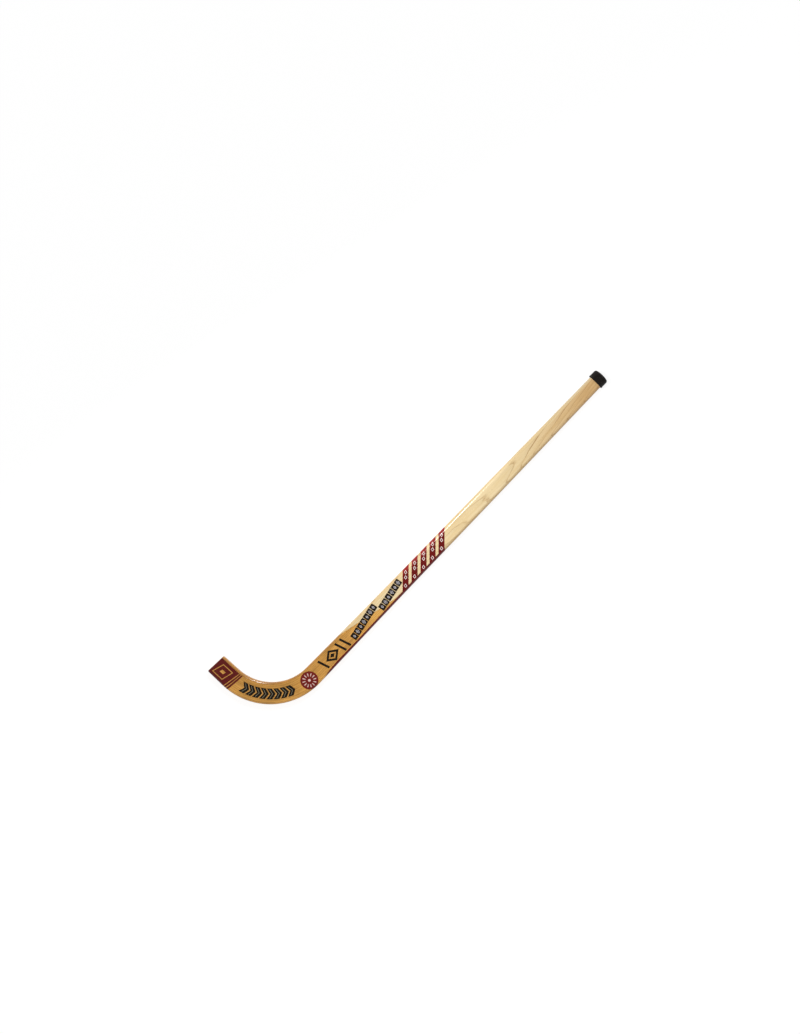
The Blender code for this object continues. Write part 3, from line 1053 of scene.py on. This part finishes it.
def add_roundel(red, pink):
    hub = plan_circle(ROUNDEL_HUB_RADIUS, ROUNDEL_HUB_STEPS)
    dashes = [roundel_dash(2 * pi * step / DASH_COUNT) for step in range(DASH_COUNT)]
    add_print("heel_roundel", [[plan_circle(ROUNDEL_RADIUS, ROUNDEL_STEPS)]], FIRST_COAT, red)
    add_print("heel_roundel_marks", [[loop] for loop in (hub, *dashes)], SECOND_COAT, pink)


# The strokes past the heel: slanting bars, and a nested diamond between the first and the second.
BAR_PLACES = (27.0, 77.0, 90.5)
BAR_REACH = 12.8
BAR_SLANT = 8.0
BAR_THICKNESS = 4.7
HEEL_DIAMOND_MIDDLE = (57.0, 0.0)
HEEL_DIAMOND_SIZE = (36.0, 27.0)
HEEL_DIAMOND_SHARES = (1.0, 0.6, 0.34)


def add_heel_strokes(black):
    shapes = []
    for place in BAR_PLACES:
        shapes.append([stroke_loop((place, BAR_REACH), (place + BAR_SLANT, -BAR_REACH), BAR_THICKNESS)])
    diamonds = nested_diamonds(HEEL_DIAMOND_MIDDLE, HEEL_DIAMOND_SIZE, HEEL_DIAMOND_SHARES)
    shapes += [diamonds[:2], diamonds[2:]]
    add_print("heel_strokes", shapes, FIRST_COAT, black)


# Two slanting rows of tiles over the splice: where each row's two ends lie, and how many tiles it has.
TILE_ROWS = (((111.0, -6.6), (191.0, 9.2), 7), ((193.6, -5.8), (262.6, 7.8), 6))
TILE_SIZE = (10.8, 14.8)
TILE_CORNER = 0.8
TILE_CORNER_STEPS = 2
TILE_MARK_SIZE = (7.0, 10.0)
TILE_MARK_SHARES = (1.0, 0.72, 0.34)


def add_tiles(black, grey):
    """The tiles, marked by turns with a small open diamond and a large one that has a solid middle."""
    tiles, marks = [], []
    for start, end, count in TILE_ROWS:
        start, end = Vector(start), Vector(end)
        run = end - start
        slope = atan2(run.y, run.x)
        for k in range(count):
            middle = start + run * (k + 0.5) / count
            tile = rounded(box_loop(*middle, *TILE_SIZE), TILE_CORNER, TILE_CORNER_STEPS)
            tiles.append([turned(tile, middle, slope)])
            diamonds = nested_diamonds(middle, TILE_MARK_SIZE, TILE_MARK_SHARES)
            diamonds = [turned(diamond, middle, slope) for diamond in diamonds]
            marks += [diamonds[:2], diamonds[2:]] if k % 2 else [diamonds[1:]]
    add_print("tile_rows", tiles, FIRST_COAT, black)
    add_print("tile_row_marks", marks, SECOND_COAT, grey)


# The slanting stripes on the shaft: they overlap the band a little and go some way down the side.
STRIPE_COUNT = 5
STRIPES_START = 263.6
STRIPE_PITCH = 26.45
STRIPE_WIDTH = 17.9
STRIPE_SLOPE = 1.038
STRIPE_OVERLAP = 0.5
STRIPE_DOWN_SIDE = 2.5

# A stripe's edges have their points at these twelfths of the half width.
STRIPE_TWELFTHS = range(-8, 13)

# The open diamonds on each stripe: where they lie around, their size and how far they are turned.
STRIPE_MARK_PLACES = (10.2, 2.8, -9.0)
STRIPE_MARK_SIZE = (6.4, 9.0)
STRIPE_MARK_SHARES = (1.0, 0.62)
STRIPE_MARK_TURN = radians(-44)

# The band that ties the stripes together along the outer edge: its widths on the face along the
# stick, and how far down the side it goes, which is less than nothing at its tip.
BAND_START = 10.0
BAND_TIP_END = 34.0
BAND_WIDTH = 5.2
BAND_WIDTHS = ((BAND_START, 0.2), (BAND_TIP_END, 4.2), (110.0, 4.5), (STRIPES_START, BAND_WIDTH))
BAND_TIP_DOWN_SIDE = -1.4
BAND_DOWN_SIDE = 3.5
BAND_STEPS = 24


def side_reach(along):
    """How far around the skin the side wall starts."""
    return half_flat(along) + edge_radius(along) * pi / 2


def stripe_loop(start):
    """One stripe, straight in plan from the outer band over the inner edge, then down the side."""
    loop = []
    for edge, outward in ((start, False), (start + STRIPE_WIDTH, True)):
        wide = half_width(edge)
        acrosses = [-wide + BAND_WIDTH - STRIPE_OVERLAP]
        acrosses += [wide * twelfth / 12 for twelfth in STRIPE_TWELFTHS]
        side = [(edge + STRIPE_SLOPE * across, over_skin(edge, across)) for across in acrosses]
        side.append((side[-1][0], side[-1][1] + STRIPE_DOWN_SIDE))
        loop += side if outward else side[::-1]
    return loop


def band_loop():
    """The band along the outer rounded edge: a point near the heel, ending as the last stripe does."""
    last = STRIPES_START + STRIPE_PITCH * (STRIPE_COUNT - 1) + STRIPE_WIDTH
    inner_end = last + STRIPE_SLOPE * (BAND_WIDTH - half_width(last))
    outer_end = last - STRIPE_SLOPE * half_width(last)
    inner, outer = [], []
    for step in range(BAND_STEPS + 1):
        stop = BAND_START + (inner_end - BAND_START) * step / BAND_STEPS
        width = smooth_value(BAND_WIDTHS, stop)
        inner.append((stop, over_skin(stop, width - half_width(stop))))
        stop = BAND_START + (outer_end - BAND_START) * step / BAND_STEPS
        down = straight_value(BAND_START, BAND_TIP_DOWN_SIDE, BAND_TIP_END, BAND_DOWN_SIDE, stop)
        outer.append((stop, -side_reach(stop) - down))
    return outer + inner[::-1]


def add_stripes(red, white):
    starts = [STRIPES_START + STRIPE_PITCH * k for k in range(STRIPE_COUNT)]
    add_print("shaft_stripes", [[stripe_loop(start)] for start in starts], FIRST_COAT, red)
    add_print("outer_band", [[band_loop()]], BAND_COAT, red)
    marks = []
    for start in starts:
        for around in STRIPE_MARK_PLACES:
            middle = (start + STRIPE_WIDTH / 2 + STRIPE_SLOPE * around, around)
            diamonds = nested_diamonds(middle, STRIPE_MARK_SIZE, STRIPE_MARK_SHARES)
            marks.append([turned(diamond, middle, STRIPE_MARK_TURN) for diamond in diamonds])
    add_print("shaft_stripe_marks", marks, SECOND_COAT, white)


def add_prints():
    """All the prints; each ink names what shows where it is thin, and how much of that does."""
    add_toe_panel()
    black = make_ink("black_ink", INK_BLACK, HONEY_PALE, 0.1)
    grey = make_ink("grey_ink", LINE_GREY, HONEY_PALE, 0.2)
    add_chevrons(black, grey)
    roundel_red = make_ink("roundel_ink", ROUNDEL_RED, HONEY_PALE, 0.08)
    pink = make_ink("pink_ink", MARK_PINK, MAROON, 0.2)
    add_roundel(roundel_red, pink)
    add_heel_strokes(black)
    pale = make_ink("pale_ink", TILE_GREY, INK_BLACK, 0.2)
    add_tiles(black, pale)
    # The red ink carries painted light: it is brighter towards the inner edge.
    red = make_ink("red_ink", DARK_RED, ASH_PALE, 0.05, PAINTED_LIGHT_RED)
    white = make_ink("white_ink", MARK_WHITE, MAROON, 0.15)
    add_stripes(red, white)


# Floor, light and camera.

# The room's light on the object, how bright its walls and its ceiling show in the varnish, and
# between which rises of a direction the walls give way to the ceiling.
WORLD_LEVEL = 0.43
WALL_LEVEL = 0.7
CEILING_LEVEL = 0.15
CEILING_RISE = (0.45, 0.95)

# The soft box, in metres and watts: its middle, the way it faces, its lean about that, its sides
# and its power.
KEY_PLACE = Vector((0.447, 0.382, 0.704))
KEY_FACES = Vector((-0.22, -0.92, -0.31))
KEY_LEAN = radians(-6.3)
KEY_SIZE = (0.1, 0.447)
KEY_POWER = 5.9

# The floor, a little under the stick: the camera sees its glow and a share of its shadows.
FLOOR_SIZE = 8.0
FLOOR_HEIGHT = -0.0004
FLOOR_GLOW = 0.86
SHADOW_SHARE = 0.32
PAPER = (0.8, 0.8, 0.8, 1.0)


def seen_directly(wires):
    """One for what the camera sees, straight or in a reflection or through glass."""
    path = wires.node("ShaderNodeLightPath").outputs
    either = wires.math("MAXIMUM", path["Is Camera Ray"], path["Is Glossy Ray"])
    return wires.math("MAXIMUM", either, path["Is Transmission Ray"])


def make_floor_material():
    """Plain white paper that shows as white and keeps only part of the shadow; unseen from below."""
    material = bpy.data.materials.new("white_paper")
    material.use_nodes = True
    tree = material.node_tree
    tree.nodes.remove(tree.nodes["Principled BSDF"])
    wires = Wires(tree)
    paper = wires.node("ShaderNodeBsdfDiffuse", {"Color": PAPER}).outputs[0]
    shadow_part = wires.node("ShaderNodeBsdfDiffuse", {"Color": (SHADOW_SHARE,) * 3 + (1.0,)}).outputs[0]
    glow = wires.node("ShaderNodeEmission", {"Color": WHITE, "Strength": FLOOR_GLOW}).outputs[0]
    seen = wires.node("ShaderNodeAddShader", {0: shadow_part, 1: glow}).outputs[0]
    surface = wires.node("ShaderNodeMixShader", {0: seen_directly(wires), 1: paper, 2: seen}).outputs[0]
    clear = wires.node("ShaderNodeBsdfTransparent").outputs[0]
    backfacing = wires.node("ShaderNodeNewGeometry").outputs["Backfacing"]
    surface = wires.node("ShaderNodeMixShader", {0: backfacing, 1: surface, 2: clear}).outputs[0]
    wires.feed(tree.nodes["Material Output"].inputs["Surface"], surface)
    return material


def add_floor():
    half = FLOOR_SIZE / 2
    x, y = VIEW_MIDDLE
    corners = [(x - half, y - half), (x + half, y - half), (x + half, y + half), (x - half, y + half)]
    data = bpy.data.meshes.new("floor")
    data.from_pydata([(*corner, FLOOR_HEIGHT) for corner in corners], [], [(0, 1, 2, 3)])
    data.materials.append(make_floor_material())
    floor_sheet = bpy.data.objects.new("floor", data)
    bpy.context.scene.collection.objects.link(floor_sheet)


def light_room():
    """A white room with a darker ceiling, and one upright soft box beside the shaft."""
    world = bpy.data.worlds.new("white_room")
    bpy.context.scene.world = world
    world.use_nodes = True
    wires = Wires(world.node_tree)
    rise = wires.split(wires.node("ShaderNodeTexCoord").outputs["Generated"])[2]
    wall_level = wires.step(rise, *CEILING_RISE, WALL_LEVEL, CEILING_LEVEL)
    seen = seen_directly(wires)
    difference = wires.math("SUBTRACT", wall_level, WORLD_LEVEL)
    level = wires.math("MULTIPLY_ADD", seen, difference, WORLD_LEVEL)
    background = world.node_tree.nodes["Background"]
    wires.feed(background.inputs["Color"], WHITE)
    wires.feed(background.inputs["Strength"], level)
    box = bpy.data.lights.new("soft_box", "AREA")
    box.shape = "RECTANGLE"
    box.size, box.size_y = KEY_SIZE
    box.energy = KEY_POWER
    lamp = bpy.data.objects.new("soft_box", box)
    lamp.location = KEY_PLACE
    lamp.visible_camera = False
    lamp.rotation_mode = "QUATERNION"
    lamp.rotation_quaternion = KEY_FACES.to_track_quat("-Z", "Y") @ Quaternion((0, 0, 1), KEY_LEAN)
    bpy.context.scene.collection.objects.link(lamp)


def add_camera():
    """Straight down on the stick, rolled so that the shaft rises to the right."""
    lens = bpy.data.cameras.new("camera")
    lens.lens = lens.sensor_width * VIEW_DISTANCE * PIXELS_PER_METRE / max(PICTURE_SIZE)
    lens.clip_end = 100.0
    camera = bpy.data.objects.new("camera", lens)
    right = Vector((cos(SHAFT_RISE), -sin(SHAFT_RISE), 0))
    up = Vector((sin(SHAFT_RISE), cos(SHAFT_RISE), 0))
    turn = Matrix((right, up, Vector((0, 0, 1)))).transposed()
    place = Vector((*VIEW_MIDDLE, BLADE_THICKNESS / 2 * MM + VIEW_DISTANCE))
    camera.matrix_world = Matrix.Translation(place) @ turn.to_4x4()
    bpy.context.scene.collection.objects.link(camera)
    bpy.context.scene.camera = camera


dress_cad_pieces()
add_glue()
add_prints()
add_floor()
light_room()
add_camera()
bpy.context.scene.view_settings.view_transform = "Standard"
